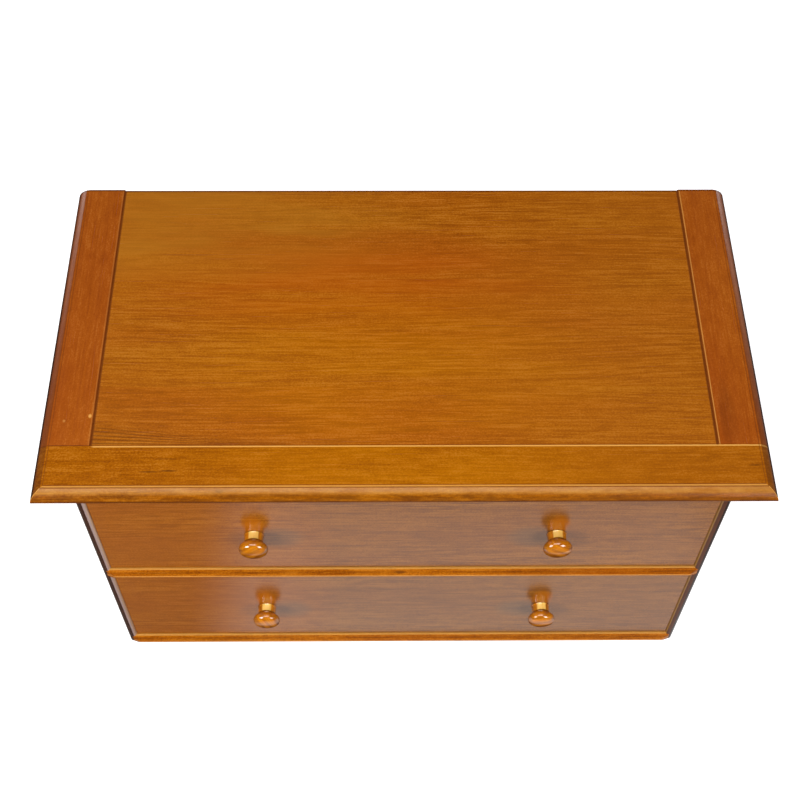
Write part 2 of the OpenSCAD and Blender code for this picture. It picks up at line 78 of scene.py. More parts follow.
# Colours are written in sRGB, from 0 to 255
def srgb(red, green, blue):
    """Linear colour of an sRGB one."""
    channels = []
    for value in (red, green, blue):
        share = value / 255
        channels.append(share / 12.92 if share <= 0.04045 else ((share + 0.055) / 1.055) ** 2.4)
    return (*channels, 1.0)


# Kinds of wood: light ground, dark figure, and the warmer tone of the clouds in the ground
PANEL = dict(light=srgb(177, 103, 14), dark=srgb(136, 66, 4), warm=srgb(170, 88, 12))
RAIL = dict(light=srgb(174, 101, 5), dark=srgb(132, 66, 2), warm=srgb(166, 90, 4))
NOSE = dict(light=srgb(178, 100, 6), dark=srgb(128, 60, 2), warm=srgb(166, 86, 4))
STILE = dict(light=srgb(172, 90, 18), dark=srgb(136, 60, 8), warm=srgb(160, 76, 14))
FRONT = dict(light=srgb(166, 96, 12), dark=srgb(118, 58, 6), warm=srgb(150, 80, 10))
SIDE = dict(light=srgb(172, 92, 18), dark=srgb(128, 60, 8), warm=srgb(154, 76, 14))
BARE = dict(light=srgb(226, 196, 148), dark=srgb(190, 146, 92), warm=srgb(214, 176, 122))

# Tones that are laid over the wood
YELLOW = srgb(192, 116, 0)
RED = srgb(176, 84, 8)
OLIVE = srgb(174, 110, 26)
EVEN = srgb(169, 99, 20)
PALE = srgb(226, 164, 78)
# Pale rose for painted highlights on the moulding and the rail arrises, and painted light in the gaps beside
# the drawers
PAINTED_LIGHT_ROSE = srgb(204, 152, 74)
PAINTED_SHADE = srgb(96, 68, 24)
GROOVE = srgb(112, 56, 22)
# Dark brown for stains and marks in the wood, and for painted shade on the moulding, the rail noses and the
# knobs
STAIN_AND_SHADE = srgb(74, 34, 10)
SHADOW = srgb(40, 16, 6)


class Tree:
    """Shader nodes, added one step at a time."""

    def __init__(self, tree):
        self.tree = tree

    def node(self, kind, **settings):
        node = self.tree.nodes.new(kind)
        for name, value in settings.items():
            setattr(node, name, value)
        return node

    def feed(self, socket, value):
        """Links a socket to another one, or writes a plain value on it."""
        if isinstance(value, bpy.types.NodeSocket):
            self.tree.links.new(value, socket)
        else:
            socket.default_value = value

    def maths(self, operation, *values):
        node = self.node("ShaderNodeMath", operation=operation)
        for socket, value in zip(node.inputs, values):
            self.feed(socket, value)
        return node.outputs[0]

    def product(self, first, *others):
        for other in others:
            first = self.maths("MULTIPLY", first, other)
        return first

    def total(self, first, *others):
        for other in others:
            first = self.maths("ADD", first, other)
        return first

    def span(self, value, low, high, new_low=0.0, new_high=1.0, smooth=False):
        """Carries low..high over to new_low..new_high and holds the ends."""
        node = self.node("ShaderNodeMapRange", clamp=True)
        node.interpolation_type = "SMOOTHSTEP" if smooth else "LINEAR"
        for socket, number in zip(node.inputs, (value, low, high, new_low, new_high)):
            self.feed(socket, number)
        return node.outputs[0]

    def fall(self, value, low, high, smooth=False):
        """1 below low, fading to 0 at high."""
        return self.span(value, low, high, 1.0, 0.0, smooth)

    def strip(self, value, low, high, soft=SOFT):
        """1 between low and high, fading over soft outside them."""
        rise = self.span(value, low - soft, low, smooth=True)
        return self.product(rise, self.fall(value, high, high + soft, smooth=True))

    def patch(self, first, second, place, reach):
        """1 in the middle of an oval, fading to 0 at its edge."""
        offsets = []
        for value, centre, half in zip((first, second), place, reach):
            offset = self.maths("DIVIDE", self.maths("SUBTRACT", value, centre), half)
            offsets.append(self.maths("POWER", offset, 2.0))
        return self.fall(self.total(*offsets), 0.0, 1.0, smooth=True)

    def rays(self):
        """Two masks: rays straight from the camera, and those that are mirrored or refracted."""
        path = self.node("ShaderNodeLightPath")
        in_gloss = self.maths("MAXIMUM", path.outputs["Is Glossy Ray"], path.outputs["Is Transmission Ray"])
        return path.outputs["Is Camera Ray"], in_gloss


class Graph(Tree):
    """One material, whose figure sticks to its piece."""

    def __init__(self, name):
        self.material = bpy.data.materials.new(name)
        self.material.use_nodes = True
        super().__init__(self.material.node_tree)
        self.tree.nodes.clear()
        self.output = self.node("ShaderNodeOutputMaterial")
        split = self.node("ShaderNodeSeparateXYZ")
        self.feed(split.inputs[0], self.node("ShaderNodeTexCoord").outputs["Object"])
        self.x, self.y, self.z = split.outputs

    def combine(self, *values):
        node = self.node("ShaderNodeCombineXYZ")
        for socket, value in zip(node.inputs, values):
            self.feed(socket, value)
        return node.outputs[0]

    def scaled(self, across, deep, high):
        """The place, with each axis at its own scale."""
        return self.combine(self.product(self.x, across), self.product(self.y, deep),
                            self.product(self.z, high))

    def noise(self, vector, detail=2.0, roughness=0.5):
        node = self.node("ShaderNodeTexNoise")
        self.feed(node.inputs["Vector"], vector)
        self.feed(node.inputs["Scale"], 1.0)
        self.feed(node.inputs["Detail"], detail)
        self.feed(node.inputs["Roughness"], roughness)
        return node.outputs["Fac"]

    def ramp(self, factor, *stops):
        node = self.node("ShaderNodeValToRGB")
        self.feed(node.inputs[0], factor)
        elements = node.color_ramp.elements
        while len(elements) < len(stops):
            elements.new(0.5)
        for element, (place, tone) in zip(elements, stops):
            element.position = place
            element.color = (tone, tone, tone, 1.0)
        return node.outputs[0]

    def blend(self, factor, first, second):
        node = self.node("ShaderNodeMix", data_type="RGBA")
        self.feed(node.inputs[0], factor)
        self.feed(node.inputs[6], first)
        self.feed(node.inputs[7], second)
        return node.outputs[2]

    def bump(self, height, strength, distance):
        node = self.node("ShaderNodeBump")
        self.feed(node.inputs["Strength"], strength)
        self.feed(node.inputs["Distance"], distance)
        self.feed(node.inputs["Height"], height)
        return node.outputs[0]

    def glow(self, strength):
        node = self.node("ShaderNodeEmission")
        self.feed(node.inputs["Strength"], strength)
        return node.outputs[0]

    def shader(self, **values):
        node = self.node("ShaderNodeBsdfPrincipled")
        for name, value in values.items():
            self.feed(node.inputs[name.replace("_", " ")], value)
        return node.outputs[0]

    def show(self, surface):
        self.feed(self.output.inputs["Surface"], surface)
        return self.material


def middle(node):
    low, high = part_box(node)
    return (low + high) / 2


def dress(node, material):
    """Gives a CAD node its finish."""
    for material_slot in NODES[node].material_slots:
        material_slot.material = material


# For each grain, the axis along it, the one across it and the one that goes deep
AXES = {"X": (0, 1, 2), "Y": (1, 0, 2), "Z": (2, 1, 0)}
# How far one seed is from the next along the grain
SEED_STEP = 3.7
# How far the rings and the lines between them wander, slowly and in ripples
BEND = 34 * MM
RING_RIPPLE = 2.4 * MM
LINE_RIPPLE = 3 * MM


class Wood(Graph):
    """Lacquered pine whose growth rings run round a heart line, so that ends and faces agree.

    grain is the axis that the fibres follow. The heart line lies aside and below the middle of
    the node, in metres. ring is the width of one year. Noise is scaled per metre, along the
    grain and across it.
    """

    def __init__(self, node, grain, seed, aside, below, light, dark, warm, ring=4.2 * MM, contrast=0.4,
                 streaks=1.0, clouds=1.0, fine=1.0, grain_noise=0.55):
        super().__init__(f"{node}_wood")
        self.node_name = node
        self.dull_masks = []
        along, across, deep = AXES[grain]
        axes = (self.x, self.y, self.z)
        self.along = self.maths("ADD", axes[along], SEED_STEP * seed)
        self.across = axes[across]
        self.deep = axes[deep]
        centre = middle(node)
        heart = (centre[across] + aside, centre[deep] - below)

        bend = self.product(self.noise(self.stretched(2.0, 8.0), detail=1.0), BEND)
        ripple = self.noise(self.stretched(12.0, 40.0))
        year = self.grow(heart, ring, self.total(bend, self.product(ripple, RING_RIPPLE)))
        waves = self.total(self.across, bend, self.product(ripple, LINE_RIPPLE))
        lines = self.noise(self.combine(self.product(self.along, 15.0), self.product(waves, 430.0 * fine),
                                        self.product(self.deep, 430.0 * fine)), detail=2.0, roughness=0.7)
        self.fibre = self.noise(self.stretched(10.0, 370.0 * fine), detail=4.0, roughness=0.65)
        self.bands = self.noise(self.stretched(6.0, 34.0), detail=2.0)
        grit = self.noise(self.stretched(420.0, 520.0), detail=2.0, roughness=0.7)
        dashes = self.noise(self.stretched(28.0, 500.0 * fine), detail=1.0)
        mottle = self.noise(self.stretched(55.0, 120.0), detail=3.0, roughness=0.65)
        cloud = self.noise(self.stretched(3.0, 11.0))

        figure = self.total(
            self.product(self.late_wood, self.span(year, 0.36, 0.66), contrast),
            self.span(self.fibre, 0.3, 0.72, -0.22 * streaks, 0.28 * streaks),
            self.product(self.span(lines, 0.38, 0.62, -0.5 * streaks, 0.6 * streaks),
                         self.span(self.bands, 0.3, 0.62, 0.35, 1.0)),
            self.span(dashes, 0.6, 0.72, 0.0, 0.35 * streaks),
            self.span(grit, 0.3, 0.7, -grain_noise, grain_noise),
            self.span(mottle, 0.35, 0.65, -0.2 * clouds, 0.22 * clouds))
        figure = self.span(figure, -0.6, 1.1)
        self.tone = self.blend(self.span(cloud, 0.36, 0.66), light, warm)
        self.tint(self.span(figure, 0.2, 0.85), dark)
        self.tint(self.span(figure, 0.3, 0.0, 0.0, 0.12), PALE)

    def grow(self, heart, ring, sway):
        """Keeps the late wood, which darkens through every ring, and returns how strong each year is."""
        legs = [self.maths("POWER", self.maths("SUBTRACT", value, start), 2.0)
                for value, start in zip((self.across, self.deep), heart)]
        radius = self.maths("SQRT", self.total(*legs))
        rings = self.maths("DIVIDE", self.total(radius, sway), ring)
        self.late_wood = self.ramp(self.maths("FRACT", rings), (0.0, 0.25), (0.12, 0.0), (0.5, 0.05),
                                   (0.86, 1.0), (1.0, 0.25))
        return self.noise(self.combine(self.product(rings, 0.9), self.product(self.along, 1.6), 0.0),
                          detail=3.0, roughness=0.6)

    def stretched(self, along_scale, across_scale):
        return self.combine(self.product(self.along, along_scale), self.product(self.across, across_scale),
                            self.product(self.deep, across_scale))

    def on_top(self, place, reach):
        """An oval on a level surface."""
        return self.patch(self.x, self.y, place, reach)

    def on_face(self, place, reach):
        """An oval on an upright front."""
        return self.patch(self.x, self.z, place, reach)

    def tint(self, mask, colour, share=None):
        """Lays a colour over the wood where the mask says, with the figure still showing."""
        factor = mask if share is None else self.product(mask, share)
        self.tone = self.blend(factor, self.tone, colour)

    def patchy(self, mask):
        """Breaks a mask up along the grain."""
        return self.product(mask, self.span(self.bands, 0.3, 0.6, 0.3, 1.0))

    def carve(self, mask, share):
        """Colours a cut in the surface dark, where the lacquer shines less. In grooves and quirks this is
        painted shade; along a joint it is the joint's own dark line.
        """
        self.tint(mask, GROOVE, share)
        self.dull_masks.append(mask)

    def finish(self, gloss=0.24, specular=0.5):
        """Lacquers the wood and puts it on its node."""
        for mask in self.dull_masks:
            specular = self.product(self.fall(mask, 0.0, 1.0), specular)
        peel = self.noise(self.stretched(170.0, 170.0), detail=1.0)
        height = self.total(self.product(self.fibre, 0.6), self.product(self.late_wood, 0.25),
                            self.product(peel, 0.3))
        roughness = self.span(self.fibre, 0.3, 0.7, gloss - 0.03, gloss + 0.04)
        normal = self.bump(height, 0.16, 0.4 * MM)
        surface = self.shader(Base_Color=self.tone, Roughness=roughness, Normal=normal,
                              IOR=1.5, Specular_IOR_Level=specular)
        dress(self.node_name, self.show(surface))


# Top
BOARD_COUNT = 5
JOINT_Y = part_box("top_front_rail")[1][1]
GROOVE_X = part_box("top_stile_right")[0][0]
# How far in from the edge the moulding's curve and its level ledge end, and how far the curve drops
CURVE_RUN = 11.6 * MM
LEDGE_RUN = 14.4 * MM
CURVE_DROP = 12.5 * MM
# Where the curve's pale band, a painted highlight, lies, and how the painted shade on its low parts fades
# out at the front and at the ends
PALE_BAND = (6.5 * MM, 10.0 * MM)
LOW_AT_FRONT = (3.5 * MM, 6.5 * MM)
LOW_AT_END = (2.6 * MM, 5.2 * MM)


def finish_edges(wood):
    """Paints the moulding by how far a point lies in from the edge of the top: its tone, painted highlights
    and painted shade.
    """
    from_front = wood.maths("SUBTRACT", wood.y, FRONT_Y)
    from_end = wood.maths("SUBTRACT", HALF_WIDTH, wood.maths("ABSOLUTE", wood.x))
    inward = wood.maths("MINIMUM", from_front, from_end)
    at_end = wood.maths("LESS_THAN", from_end, from_front)
    at_front = wood.maths("SUBTRACT", 1.0, at_end)
    curve = wood.fall(inward, CURVE_RUN - SOFT, CURVE_RUN)

    # Pale ledge beside the curve at the front: a painted highlight
    ledge = wood.strip(inward, CURVE_RUN + 0.3 * MM, LEDGE_RUN - 0.4 * MM, 0.2 * MM)
    wood.tint(wood.product(ledge, at_front), PALE, 0.6)
    rough = wood.noise(wood.scaled(40.0, 40.0, 300.0), detail=3.0, roughness=0.7)
    wood.tint(wood.product(curve, at_front), STAIN_AND_SHADE, 0.28)
    # Pale band across the curve at the front: a painted highlight
    painted_highlight_band = wood.product(wood.strip(inward, *PALE_BAND, 3.0 * MM), curve, at_front)
    wood.tint(painted_highlight_band, PAINTED_LIGHT_ROSE, wood.span(rough, 0.3, 0.7, 0.4, 0.12))
    # Darker low part of the curve at the front: painted shade, a little uneven
    painted_low_shade = wood.product(wood.fall(inward, *LOW_AT_FRONT), at_front)
    wood.tint(painted_low_shade, STAIN_AND_SHADE, wood.span(rough, 0.38, 0.62, 0.08, 0.58))
    wood.dull_masks.append(wood.product(painted_low_shade, 0.6))

    # The curves at the ends are darker: painted shade, stronger towards the front
    wood.tint(wood.product(curve, at_end), STAIN_AND_SHADE, wood.span(wood.y, -0.08, 0.08, 0.5, 0.36))
    # Near-black outermost strip at the ends: painted shade, weaker towards the back
    outermost = wood.product(wood.fall(inward, *LOW_AT_END), at_end)
    wood.tint(outermost, SHADOW, wood.span(wood.y, 0.0, 0.12, 0.95, 0.7))
    wood.dull_masks.append(outermost)

    # Fine dark lines where the curve and the ledge start: painted shade in the quirks
    for place in (CURVE_RUN, LEDGE_RUN):
        wood.carve(wood.strip(inward, place - 0.3 * MM, place + 0.3 * MM), 0.7)
    mitre = wood.strip(wood.maths("SUBTRACT", from_front, from_end), -0.2 * MM, 0.5 * MM)
    wood.tint(wood.product(mitre, curve), PALE, 0.7)
    # Dark line along the lowest edge of the moulding: painted shade
    lowest = TOP_Z - CURVE_DROP
    wood.tint(wood.span(wood.z, lowest, lowest + 1.8 * MM, 0.7, 0.0), STAIN_AND_SHADE)


def darken_back(wood):
    """Dark line along the rear edge."""
    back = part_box(wood.node_name)[1][1]
    wood.tint(wood.span(wood.y, back - 2.8 * MM, back - 1.8 * MM), STAIN_AND_SHADE, 0.7)


def stripes(wood):
    """Growth rings that fan out along the front joint towards the left end."""
    behind = wood.maths("SUBTRACT", wood.y, JOINT_Y)
    pitch = wood.span(wood.x, -GROOVE_X, -0.20, 5.2 * MM, 1.4 * MM)
    count = wood.maths("DIVIDE", behind, pitch)
    line = wood.ramp(wood.maths("FRACT", count), (0.0, 0.0), (0.25, 0.0), (0.6, 1.0), (0.95, 0.0))
    near = wood.product(wood.fall(count, 4.0, 6.5), wood.fall(wood.x, -0.20, -0.06))
    wood.tint(wood.product(line, near), STAIN_AND_SHADE, 0.55)


# The top is more even towards its ends: the stretches from left to right over which that changes
BOARD_EVEN_LEFT = (-0.34, -0.12)
BOARD_EVEN_RIGHT = (0.02, 0.24)
RAIL_EVEN_RIGHT = (0.05, 0.25)
# Broad changes of tone: place and half size in plan, colour, how strong, and on which boards
BOARD_PATCHES = [((-0.26, 0.16), (0.34, 0.12), OLIVE, 0.7, (4, 5)),
                 ((-0.08, 0.07), (0.36, 0.08), RED, 0.55, (1, 2, 3, 4)),
                 ((-0.02, -0.06), (0.32, 0.14), YELLOW, 0.35, (1, 2, 3, 4, 5))]
RAIL_PATCH = ((0.0, -0.19), (0.32, 0.08))
RIGHT_STILE_SMUDGE = ((0.362, -0.12), (0.012, 0.06))
# Dark and pale marks: place and half size in plan, and how strong they are
RAIL_MARKS = [((-0.278, -0.1880), (0.015, 0.0012), 0.7), ((-0.257, -0.1868), (0.013, 0.0012), 0.8),
              ((-0.262, -0.1718), (0.016, 0.0012), 0.35), ((0.383, -0.1815), (0.010, 0.0014), 0.5),
              ((-0.2005, -0.2110), (0.006, 0.0025), 0.5)]
LEFT_STILE_MARKS = [((-0.3503, -0.1159), (0.0024, 0.0034), 0.9), ((-0.3784, -0.1224), (0.002, 0.0024), 0.4)]


def top_boards():
    for number in range(1, BOARD_COUNT + 1):
        aside = 0.11 if number % 2 else -0.12
        board = Wood(f"top_board_{number}", "X", number, aside, 0.05, **PANEL)
        for place, reach, colour, share, numbers in BOARD_PATCHES:
            if number in numbers:
                board.tint(board.patchy(board.on_top(place, reach)), colour, share)
        board.tint(board.span(board.x, *BOARD_EVEN_RIGHT), EVEN, 0.3)
        board.tint(board.fall(board.x, *BOARD_EVEN_LEFT), EVEN, 0.25)
        if number == 1:
            stripes(board)
        if number == BOARD_COUNT:
            darken_back(board)
        from_middle = board.maths("ABSOLUTE", board.x)
        # Dark V-groove beside the stiles: painted shade
        board.carve(board.span(from_middle, GROOVE_X - 2.2 * MM, GROOVE_X - 1.6 * MM), 0.75)
        board.carve(board.strip(board.y, JOINT_Y, JOINT_Y + 0.9 * MM), 0.6)
        board.finish(specular=0.4)


def top_front_rail():
    rail = Wood("top_front_rail", "X", 7, 0.09, 0.06, streaks=0.7, clouds=1.3, **RAIL)
    rail.tint(rail.patchy(rail.on_top(*RAIL_PATCH)), YELLOW, 0.35)
    rail.tint(rail.span(rail.x, *RAIL_EVEN_RIGHT), EVEN, 0.3)
    for place, reach, share in RAIL_MARKS:
        rail.tint(rail.on_top(place, reach), STAIN_AND_SHADE, share)
    # Pale line along the rail's rear arris at the joint, from the left stile on: a painted highlight
    seam_highlight = rail.strip(rail.y, JOINT_Y - 1.9 * MM, JOINT_Y)
    rail.tint(rail.product(seam_highlight, rail.span(rail.x, -GROOVE_X, 4 * MM - GROOVE_X)), PALE, 0.9)
    finish_edges(rail)
    rail.finish(specular=0.2)


def top_stile(side, seed, painted_arris_pale_share, joint_share):
    """One stile. Its corner along the groove is painted pale as a highlight, and its front joint is dark."""
    stile = Wood(f"top_stile_{side}", "Y", seed, 0.07, 0.05, contrast=0.25, streaks=0.32,
                 grain_noise=0.35, **STILE)
    if side == "left":
        for place, reach, share in LEFT_STILE_MARKS:
            stile.tint(stile.on_top(place, reach), PALE, share)
    else:
        stile.tint(stile.patchy(stile.on_top(*RIGHT_STILE_SMUDGE)), STAIN_AND_SHADE, 0.35)
    from_middle = stile.maths("ABSOLUTE", stile.x)
    # Pale corner along the groove: a painted highlight
    painted_arris_pale = stile.strip(from_middle, GROOVE_X + 2.0 * MM, GROOVE_X + 2.9 * MM)
    stile.tint(painted_arris_pale, PALE, painted_arris_pale_share)
    # Dark side of the V-groove: painted shade
    stile.carve(stile.fall(from_middle, GROOVE_X + 1.4 * MM, GROOVE_X + 1.9 * MM), 0.75)
    stile.carve(stile.strip(stile.y, JOINT_Y, JOINT_Y + 0.8 * MM), joint_share)
    darken_back(stile)
    finish_edges(stile)
    stile.finish(specular=0.4)


# Carcass
SIDE_BOARD_COUNT = 4
SIDE_THICKNESS = 11 * MM
SIDE_EDGE_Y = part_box("side_left_board_1")[0][1]
SIDE_MIDDLE_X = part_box("side_right_board_1")[0][0] + SIDE_THICKNESS / 2
FACE_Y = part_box("drawer_upper_front")[0][1]
# The visible front edges are painted in an inner and an outer tone, which meet beside their middle: a
# painted reflection on the inner half of the left edge, painted shade on its outer half and on both halves
# of the right edge
INNER_REFLECTION_AND_SHADE = {"left": srgb(164, 140, 134), "right": srgb(72, 34, 14)}
OUTER_SHADE = {"left": srgb(52, 28, 16), "right": srgb(34, 22, 16)}
TONES_MEET_X = {"left": SIDE_MIDDLE_X - 1.6 * MM, "right": SIDE_MIDDLE_X + 0.6 * MM}
SIDE_SHINE = {"left": 0.45, "right": 0.12}
# Dark mark on the nose of the middle rail: place and half size across and up
MIDDLE_RAIL_MARK = ((-0.0037, 0.2183), (0.009, 0.003))


def side_panel(side, first_seed):
    for number in range(SIDE_BOARD_COUNT):
        board = Wood(f"side_{side}_board_{number + 1}", "Z", first_seed + number, 0.05, 0.06, **SIDE)
        from_middle = board.maths("ABSOLUTE", board.x)
        # Front edge in its two tones: painted reflection and painted shade
        edge = board.fall(board.y, SIDE_EDGE_Y + 3.2 * MM, SIDE_EDGE_Y + 4.2 * MM)
        outside = board.span(from_middle, TONES_MEET_X[side] - SOFT, TONES_MEET_X[side] + SOFT)
        board.tint(edge, board.blend(outside, INNER_REFLECTION_AND_SHADE[side], OUTER_SHADE[side]), 0.95)
        # Lighter inner corner beside the drawer fronts: painted light that lifts the shade of the gap
        inside = board.fall(from_middle, SIDE_MIDDLE_X - 4.0 * MM, SIDE_MIDDLE_X - 3.4 * MM)
        beside_gap = board.fall(board.y, FACE_Y + 3 * MM, FACE_Y + 4 * MM)
        board.tint(board.product(inside, beside_gap), PAINTED_LIGHT_ROSE, 0.35)
        board.finish(specular=SIDE_SHINE[side])


def nosed_rails():
    for number, node in enumerate(("head_rail", "middle_rail", "bottom_rail")):
        rail = Wood(node, "X", 20 + number, 0.06, 0.05, ring=3.0 * MM, streaks=0.7, **NOSE)
        depth = rail.maths("SUBTRACT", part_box(node)[1][2], rail.z)
        in_front = rail.fall(rail.y, FACE_Y, FACE_Y + 1 * MM)
        # Pale line on the rail's top arris: a painted highlight
        rail_arris_highlight = rail.strip(rail.y, SIDE_EDGE_Y + 0.8 * MM, FACE_Y + 0.3 * MM)
        rail.tint(rail_arris_highlight, PAINTED_LIGHT_ROSE, 0.6)
        # Dark band along the middle of the nose: painted shade, broken up along the grain
        uneven = rail.noise(rail.combine(rail.product(rail.along, 9.0), 0.0, 0.0), detail=2.0)
        streak = rail.strip(depth, 5.0 * MM, 6.5 * MM, 1.5 * MM)
        rail.tint(rail.product(streak, rail.span(uneven, 0.3, 0.6), in_front), STAIN_AND_SHADE, 0.4)
        # Pale line low on the nose: a painted highlight
        low_highlight = rail.strip(depth, 10.3 * MM, 12.0 * MM, 0.6 * MM)
        rail.tint(rail.product(low_highlight, in_front), PALE, 0.4)
        if node == "middle_rail":
            rail.tint(rail.on_face(*MIDDLE_RAIL_MARK), STAIN_AND_SHADE, 0.6)
        rail.finish(specular=0.07)


def bare_wood():
    """Unfinished pieces inside, behind and below."""
    names = ["rear_head_rail", "rear_middle_rail", "rear_bottom_rail", "cleat_left", "cleat_right",
             "drawer_stops", "rail_dowels", "stile_dowels", "back_panel"]
    names += [f"runner_{drawer}_{side}" for drawer in DRAWERS for side in SIDES]
    for drawer in DRAWERS:
        names += [f"drawer_{drawer}_{part}" for part in ("side_left", "side_right", "back", "bottom")]
    for number, node in enumerate(names):
        grain = "Y" if any(word in node for word in ("cleat", "runner", "side_")) else "X"
        Wood(node, grain, 50 + number, 0.05, 0.06, **BARE).finish(gloss=0.5)


# Drawers: beside each knob, towards the middle, lies its painted shadow, and above it a painted orange
# reflection of the knob
KNOB_SHADOW = srgb(84, 70, 52)
KNOB_SHADOW_ASIDE = 30 * MM
KNOB_SHADOW_BELOW = 6 * MM
KNOB_SHADOW_REACH = (36 * MM, 32 * MM)
KNOB_REFLECTION = srgb(184, 98, 6)
KNOB_REFLECTION_ABOVE = 26 * MM
KNOB_REFLECTION_REACH = (16 * MM, 26 * MM)
LIT_LEFT_END = srgb(150, 82, 10)
# The left end is painted lighter and warmer with painted light, and the rest darker with painted shade:
# where one gives way to the other, and how strong the shade is on each front
PAINTED_SHADE_FROM = (-0.24, -0.08)
PAINTED_SHADE_SHARE = {"lower": 0.44, "upper": 0.37}


def drawer_front(drawer, seed):
    front = Wood(f"drawer_{drawer}_front", "X", seed, 0.0, 0.14, contrast=0.3, fine=0.7, **FRONT)
    # Painted shade over the rest of the front, and painted light at its left end
    front.tint(front.span(front.x, *PAINTED_SHADE_FROM), PAINTED_SHADE, PAINTED_SHADE_SHARE[drawer])
    front.tint(front.fall(front.x, *PAINTED_SHADE_FROM), LIT_LEFT_END, 0.5)
    for side, towards_middle in zip(SIDES, (1, -1)):
        centre = middle(f"drawer_{drawer}_knob_{side}")
        # Painted shadow of the knob beside it, and painted reflection of the knob above it
        beside = (centre.x + towards_middle * KNOB_SHADOW_ASIDE, centre.z - KNOB_SHADOW_BELOW)
        front.tint(front.on_face(beside, KNOB_SHADOW_REACH), KNOB_SHADOW, 0.38)
        front.tint(front.on_face((centre.x, centre.z + KNOB_REFLECTION_ABOVE), KNOB_REFLECTION_REACH), KNOB_REFLECTION, 0.55)
    front.finish(gloss=0.22, specular=0.4)


# Knobs: a flattened ball on a round neck
KNOB_TURNS = 96
HEAD_STEPS = 40
HEAD_POWER = 2 / 2.2
HEAD_SHARE = 17 / 27
NECK_LENGTH = 10 * MM
NECK_R = 11.25 * MM
FOOT_R = 12 * MM
# How much the neck narrows where it meets the head
SEAM = 0.5 * MM
KNOB_LIGHT = srgb(208, 130, 16)
KNOB_WARM = srgb(182, 98, 8)
KNOB_DARK = srgb(104, 46, 4)
KNOB_PALE_LIT = srgb(250, 204, 104)
# Between these heights over its middle a knob goes from its dull underside to its glossy part
UNDERSIDE = (-1 * MM, 4 * MM)


def knob_outline(length, radius):
    """Radius and depth along the knob, from its foot to the middle of its face."""
    head = length * HEAD_SHARE
    waist = length - head / 2
    ball = []
    for step in range(HEAD_STEPS + 1):
        turn = pi * step / HEAD_STEPS
        reach = radius * abs(sin(turn)) ** HEAD_POWER
        depth = waist - head / 2 * copysign(abs(cos(turn)) ** HEAD_POWER, cos(turn))
        if step >= HEAD_STEPS / 2 or reach >= NECK_R + SEAM:
            ball.append((reach, depth))
    ball[-1] = (0.0, ball[-1][1])
    start = ball[0][1]
    foot = [(0.0, 0.0), (FOOT_R - 0.3 * MM, 0.0), (FOOT_R, 0.3 * MM), (FOOT_R - 0.2 * MM, 1.0 * MM)]
    neck = [(NECK_R + 0.1 * MM, 1.5 * MM), (NECK_R, 2.2 * MM), (NECK_R, start - 1.2 * MM),
            (NECK_R - 0.3 * MM, start - 0.6 * MM), (NECK_R - SEAM, start - 0.1 * MM)]
    return foot + neck + ball


def turned(name, place, outline):
    """Mesh of an outline that is turned round a line from place towards -Y."""
    rings = outline[1:-1]
    points, faces = [], []
    for radius, depth in rings:
        for turn in range(KNOB_TURNS):
            angle = 2 * pi * turn / KNOB_TURNS
            points.append((place.x + radius * cos(angle), place.y - depth, place.z + radius * sin(angle)))
    last = (len(rings) - 1) * KNOB_TURNS
    for first in range(0, last, KNOB_TURNS):
        second = first + KNOB_TURNS
        for turn in range(KNOB_TURNS):
            following = (turn + 1) % KNOB_TURNS
            faces.append((first + turn, first + following, second + following, second + turn))
    foot = len(points)
    face = foot + 1
    points += [(place.x, place.y, place.z), (place.x, place.y - outline[-1][1], place.z)]
    for turn in range(KNOB_TURNS):
        following = (turn + 1) % KNOB_TURNS
        faces.append((foot, following, turn))
        faces.append((face, last + turn, last + following))
    mesh = bpy.data.meshes.new(name)
    mesh.from_pydata(points, [], faces)
    mesh.shade_smooth()
    mesh.set_sharp_from_angle(angle=radians(50))
    return mesh


